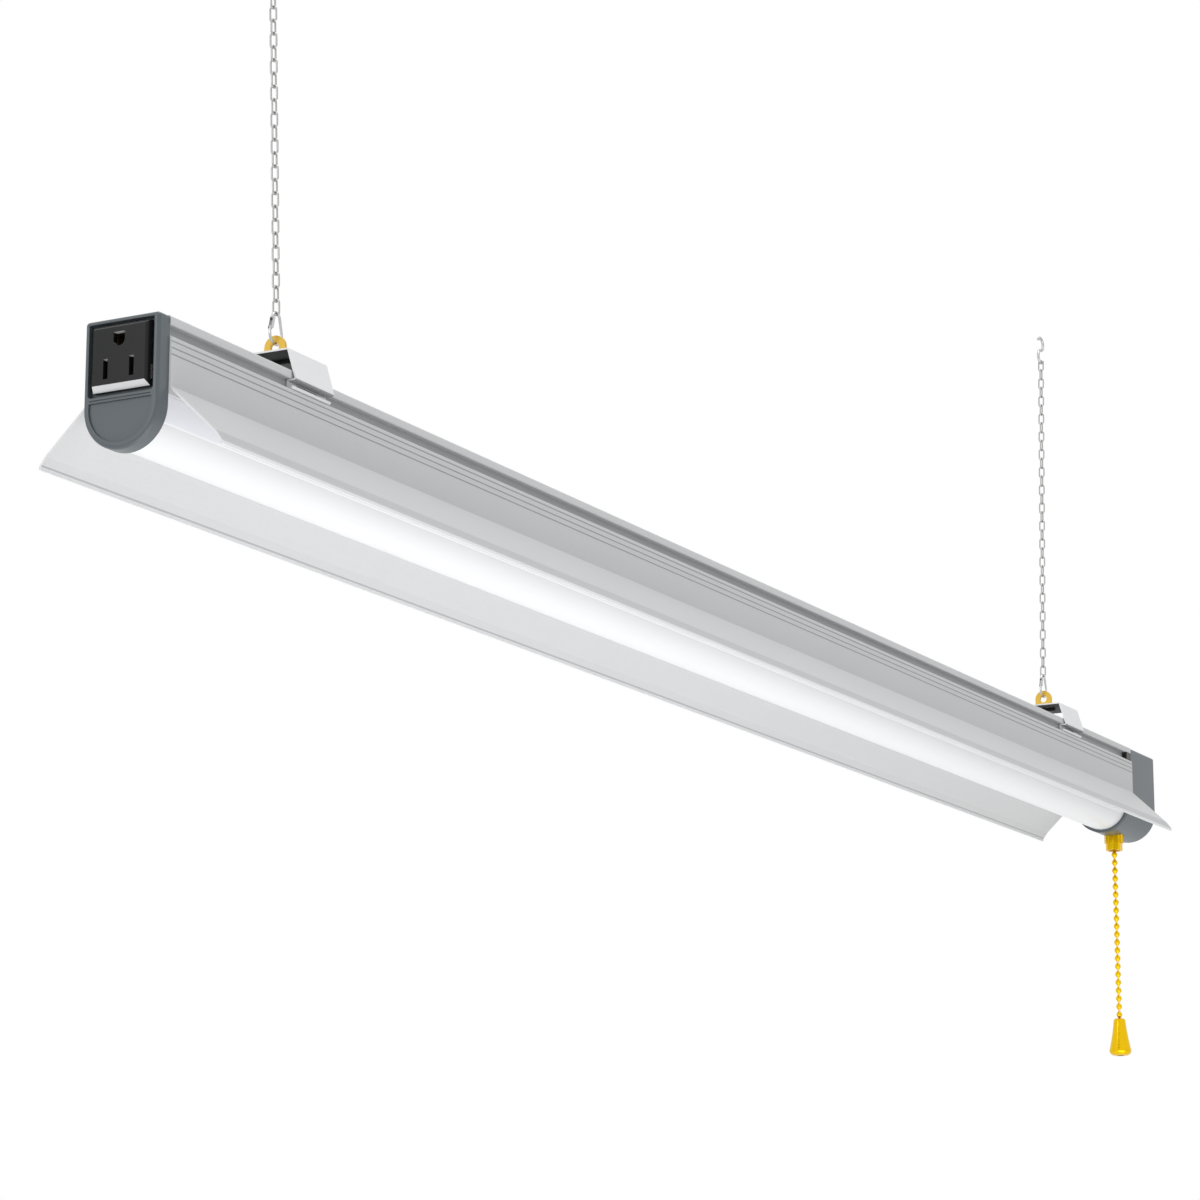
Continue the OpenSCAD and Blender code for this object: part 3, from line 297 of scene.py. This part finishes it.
def paint_over(material, mask, colour):
    """Lays colour over the finish's own colour where mask is 1, under the same grain."""
    tree = material.node_tree
    grain = next(node for node in tree.nodes if node.type == "GROUP" and node.node_tree == grain_group)
    mix = tree.nodes.new("ShaderNodeMix")
    mix.data_type = "RGBA"
    mix.inputs["B"].default_value = (*colour, 1.0)
    tree.links.new(mask, mix.inputs["Factor"])
    socket = grain.inputs["Color"]
    if socket.is_linked:
        tree.links.new(socket.links[0].from_socket, mix.inputs["A"])
    else:
        mix.inputs["A"].default_value = socket.default_value
    tree.links.new(mix.outputs["Result"], socket)


crisp, less_crisp = 0.0003, 0.0004
light_foot, light_top = -1.0, 0.0
groove_roof, groove_floor, groove_wall = -0.2596, -0.2652, 0.0176
roof_shade_h, roof_shade_soft = 0.002, 0.003
painted_groove_shade, painted_roof_shade = (0.56, 0.56, 0.57), (0.40, 0.40, 0.41)
channel_enamel = finish_of("channel_enamel", (0.68, 0.68, 0.68), roughness=0.46, grain=1100.0,
                           speckle=0.10, cloud=0.05, streak=0.06, relief=0.00001)
tree = channel_enamel.node_tree
place = parts_of(tree, "Object")
groove_heights = zone(tree, place[2], groove_floor, groove_roof, crisp)
in_groove = math_of(tree, "MULTIPLY", groove_heights,
                    zone(tree, place[1], -groove_wall, groove_wall, less_crisp))
# Painted shade: the grooves are painted a darker grey, and a darker grey again just under their roofs.
paint_over(channel_enamel, in_groove, painted_groove_shade)
near_roof = zone(tree, place[2], groove_roof - roof_shade_h, light_top, roof_shade_soft)
paint_over(channel_enamel, math_of(tree, "MULTIPLY", in_groove, near_roof), painted_roof_shade)
dress(channel_enamel, "channel")


# The reflectors are folded from enamelled sheet, smoother than the channel. Outside, three fine lines
# run along their side, and their last steep strip before the rim gets a painted shade. Their inner faces
# get a painted light, with a thin line of painted shade just above the rim. Their rims and cut ends get
# a painted highlight.
rim_strip = (-0.3108, -0.3062)
rim_line = (-0.3111, -0.3104)
rim_top = -0.3112
fine_lines = (-0.26665, -0.26937, -0.27210)
fine_line_half = 0.0003
painted_strip_shade, line_grey, painted_rim_line_shade = (0.56, 0.56, 0.57), (0.42, 0.42, 0.43), (0.46, 0.46, 0.47)
painted_inner_light, painted_rim_highlight, painted_cut_end_highlight = (0.72, 0.72, 0.72), (0.92, 0.92, 0.92), (0.96, 0.96, 0.96)
end_on, turn_soft = (0.8, 1.1), 0.1
reflector_enamel = finish_of("reflector_enamel", (0.66, 0.66, 0.66), roughness=0.42, grain=1100.0,
                             speckle=0.08, cloud=0.04, streak=0.04, relief=0.00001)
tree = reflector_enamel.node_tree
place, facing = parts_of(tree, "Object"), parts_of(tree, "Normal")
turned_out = math_of(tree, "MULTIPLY", place[1], facing[1])
outward = zone(tree, turned_out, low=0.0, high=1.0, soft=0.002)
inner_wing = zone(tree, turned_out, low=-1.0, high=-0.004, soft=0.004)
# Painted shade: the last steep strip outside, just above the rim, is painted a darker grey.
strip = math_of(tree, "MULTIPLY", zone(tree, place[2], *rim_strip, soft=0.0006), outward)
paint_over(reflector_enamel, strip, painted_strip_shade)
for line in fine_lines:
    heights = zone(tree, place[2], line - fine_line_half, line + fine_line_half, crisp)
    paint_over(reflector_enamel, math_of(tree, "MULTIPLY", heights, outward), line_grey)
# Painted light: the wings' inner faces are painted lighter than their outside.
paint_over(reflector_enamel, inner_wing, painted_inner_light)
# Painted shade: a thin darker line along the inner faces, just above the rim.
dark_line = math_of(tree, "MULTIPLY", zone(tree, place[2], *rim_line, crisp), inner_wing)
paint_over(reflector_enamel, dark_line, painted_rim_line_shade)
# Painted highlight: everything below rim_top, the rim itself, is painted near-white.
paint_over(reflector_enamel, zone(tree, place[2], light_foot, rim_top, crisp), painted_rim_highlight)
# Painted highlight: the cut ends, which face along X, are painted near-white.
cut_ends = zone(tree, math_of(tree, "ABSOLUTE", facing[0]), *end_on, turn_soft)
paint_over(reflector_enamel, cut_ends, painted_cut_end_highlight)
dress(reflector_enamel, "reflector_front", "reflector_back")


# The diffuser is a frosted milky extrusion. It has a faint even painted glow, and a painted shade
# darkens it up its sides, so it looks brightest along its lowest line. Its shoulder, above the height
# where the round begins, looks a cooler grey, and a thin bright line runs along the change.
def make_frosted(name, colour, painted_glow):
    """Milky plastic: matte colour with a faint even painted glow and fine lengthwise drawing lines."""
    material = finish_of(name, colour, roughness=0.34, grain=700.0, speckle=0.01, cloud=0.01,
                         streak=0.015, relief=0.000002)
    shader = material.node_tree.nodes["Principled BSDF"]
    # Painted glow: the emission makes the plastic glow evenly.
    shader.inputs["Emission Color"].default_value = (1.0, 1.0, 1.0, 1.0)
    shader.inputs["Emission Strength"].default_value = painted_glow
    shader.inputs["Subsurface Weight"].default_value = 0.15
    shader.inputs["Subsurface Radius"].default_value = (0.004, 0.004, 0.004)
    return material


bright_top, bright_soft = -0.3058, 0.010
shoulder_foot, shoulder_soft = -0.2997, 0.0008
line_foot, line_top = shoulder_foot - 0.0002, shoulder_foot + 0.0004
painted_side_shade, shoulder_white, line_white = (0.73, 0.73, 0.74), (0.78, 0.78, 0.82), (0.90, 0.90, 0.92)
diffuser_frosted = make_frosted("diffuser_frosted", (0.92, 0.92, 0.92), painted_glow=0.10)
tree = diffuser_frosted.node_tree
heights = parts_of(tree, "Object")[2]
# Painted shade first: the sides above bright_top are painted darker than the lowest line.
for low, high, soft, colour in ((bright_top, light_top, bright_soft, painted_side_shade),
                                (shoulder_foot, light_top, shoulder_soft, shoulder_white),
                                (line_foot, line_top, less_crisp, line_white)):
    paint_over(diffuser_frosted, zone(tree, heights, low, high, soft), colour)
dress(diffuser_frosted, "diffuser")


# Inside the channel: the white lamp board with its yellow phosphor packages, the supply in its
# galvanised case, and three insulated wires. The board and the end caps are held by zinc screws.
board_mask = finish_of("board_mask", (0.80, 0.80, 0.78), roughness=0.4, grain=500.0, speckle=0.03)
dress(board_mask, "led_board")
led_resin = finish_of("led_resin", (0.85, 0.68, 0.16), roughness=0.25, grain=2500.0, speckle=0.12)
dress(led_resin, "led_packages")
screw_zinc = finish_of("screw_zinc", (0.60, 0.60, 0.58), roughness=0.32, metallic=1.0, grain=1800.0,
                       speckle=0.12)
dress(screw_zinc, "board_screws", "outlet_cap_screws", "switch_cap_screws")
galvanised_case = finish_of("galvanised_case", (0.50, 0.52, 0.53), roughness=0.45, metallic=1.0,
                            grain=160.0, speckle=0.2)
dress(galvanised_case, "driver_case")
circuit_board = finish_of("circuit_board", (0.03, 0.16, 0.05), roughness=0.4, grain=900.0, speckle=0.15)
dress(circuit_board, "driver_board")
dress(finish_of("wire_insulation", (0.02, 0.02, 0.02), roughness=0.4), "through_wires")


# The end caps are moulded in blue-grey plastic with a fine spark-eroded grain. The stops in the
# channel's grooves and the switch's case are moulded in black.
cap_plastic = finish_of("cap_plastic", (0.105, 0.125, 0.135), roughness=0.34, grain=2200.0,
                        speckle=0.10, cloud=0.06, relief=0.000012)
dress(cap_plastic, "outlet_end_cap", "switch_end_cap")
black_plastic = finish_of("black_plastic", (0.012, 0.012, 0.013), roughness=0.35, grain=2200.0,
                          speckle=0.15)
dress(black_plastic, "groove_stops", "switch_body")


# The outlet snaps into its pocket. It is moulded in black, glossier than the cap, and its contacts are
# folded from brass strip. Near its front, the faces that face down get a painted reflection in
# near-white, and those that face up a painted light in dark grey.
facing_down, facing_up = (-1.1, -0.5), (0.4, 1.1)
outlet_face = (-0.56, -0.5515)
painted_bevel_reflection, painted_upper_bevel_light = (0.90, 0.90, 0.90), (0.16, 0.16, 0.16)
outlet_plastic = finish_of("outlet_plastic", (0.012, 0.012, 0.013), roughness=0.22, grain=2600.0,
                           speckle=0.10, relief=0.000002, specular=0.25)
tree = outlet_plastic.node_tree
place, facing = parts_of(tree, "Object"), parts_of(tree, "Normal")
near_face = zone(tree, place[0], *outlet_face, less_crisp)
# Painted reflection in near-white on the faces near the front that face down. Painted light in dark grey
# on those that face up.
for heading, colour in ((facing_down, painted_bevel_reflection), (facing_up, painted_upper_bevel_light)):
    turned = zone(tree, facing[2], *heading, turn_soft)
    paint_over(outlet_plastic, math_of(tree, "MULTIPLY", turned, near_face), colour)
dress(outlet_plastic, "outlet_module")
contact_brass = finish_of("contact_brass", (0.16, 0.11, 0.04), roughness=0.55, metallic=1.0)
dress(contact_brass, "outlet_contacts")


# The cord gland is moulded in soft black rubber, dull and a little uneven. It is pushed into its
# seat in the switch end cap.
gland_rubber = finish_of("gland_rubber", (0.015, 0.015, 0.015), roughness=0.75, grain=1500.0,
                         speckle=0.2)
dress(gland_rubber, "cord_gland")


# The pull switch's bushing, plunger, ball chain and knob are bright yellow brass: turned, and the
# balls rolled from sheet round the heads of the pins between them.
yellow_brass = finish_of("yellow_brass", (0.85, 0.53, 0.002), roughness=0.24, metallic=0.8,
                         grain=2600.0, speckle=0.01, cloud=0.03, relief=0.0, specular=0.3)
dress(yellow_brass, "switch_bushing", "first_ball", "pull_balls", "pull_pins", "pull_knob",
      "switch_plunger")


# The plunger's return spring is wound from bare steel wire. It stands on the foot of the
# switch's chamber, and its turns close up as the plunger comes down.
spring_steel = finish_of("spring_steel", (0.4, 0.4, 0.4), roughness=0.3, metallic=1.0)
dress(spring_steel, "switch_spring")
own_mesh(nodes["switch_spring"])


# The clips are bent from spring steel under white enamel. On their insides, and on their undersides
# above their feet, they get a painted shade in near-black. Under their feet they get a painted shade in
# dark grey, and their cut ends a painted highlight. The ears, of yellow passivated steel, stand through
# a slot in their tops. Below the clip tops, the ears get the same near-black painted shade.
black_foot, ear_shade_top = -0.2578, -0.2462
foot_heights = (-0.2610, -0.2590)
painted_shade_black, painted_foot_shade = (0.008, 0.008, 0.008), (0.30, 0.30, 0.31)
clip_enamel = finish_of("clip_enamel", (0.93, 0.93, 0.93), roughness=0.45, grain=1100.0, speckle=0.05)
tree = clip_enamel.node_tree
place, facing = parts_of(tree, "Object"), parts_of(tree, "Normal")
turned_out = math_of(tree, "MULTIPLY", place[1], facing[1])
turned_in = zone(tree, turned_out, low=-1.0, high=-0.001, soft=0.0005)
turned_down = zone(tree, facing[2], low=-1.1, high=-0.3, soft=turn_soft)
above_foot = zone(tree, place[2], black_foot, light_top, less_crisp)
# Painted shade: the insides, and the undersides above the foot, are painted near-black.
hidden_side = math_of(tree, "MAXIMUM", turned_in, turned_down)
paint_over(clip_enamel, math_of(tree, "MULTIPLY", hidden_side, above_foot), painted_shade_black)
# Painted shade: the undersides at the foot are painted dark grey.
under_foot = math_of(tree, "MULTIPLY", turned_down, zone(tree, place[2], *foot_heights, crisp))
paint_over(clip_enamel, under_foot, painted_foot_shade)
# Painted highlight: the clips' cut ends, which face along X, are painted near-white.
cut_ends = zone(tree, math_of(tree, "ABSOLUTE", facing[0]), *end_on, turn_soft)
paint_over(clip_enamel, cut_ends, painted_cut_end_highlight)
dress(clip_enamel, "clip_left", "clip_right")
ear_yellow = finish_of("ear_yellow", (0.80, 0.50, 0.05), roughness=0.40, metallic=0.2, grain=2200.0,
                       speckle=0.16, cloud=0.12, relief=0.00001)
tree = ear_yellow.node_tree
under_clip = zone(tree, parts_of(tree, "Object")[2], light_foot, ear_shade_top, soft=0.0002)
# Painted shade: the ear below the clip's top is painted near-black.
paint_over(ear_yellow, under_clip, painted_shade_black)
dress(ear_yellow, "ear_left", "ear_right")


# The carabiners, chains and hooks are bent from steel wire and plated. The carabiners are the
# brightest and the chains' links the dullest.
plated_wire = finish_of("plated_wire", (0.56, 0.56, 0.56), roughness=0.26, metallic=1.0,
                        grain=2600.0, speckle=0.15)
dress(plated_wire, "carabiner_left", "carabiner_right", "gate_left", "gate_right", "gate_pins")
chain_steel = finish_of("chain_steel", (0.42, 0.42, 0.41), roughness=0.34, metallic=1.0,
                        grain=2600.0, speckle=0.2)
dress(chain_steel, "chain_left", "chain_right")
hook_steel = finish_of("hook_steel", (0.50, 0.50, 0.49), roughness=0.34, metallic=1.0,
                       grain=2200.0, speckle=0.2)
dress(hook_steel, "hook_left", "hook_right")
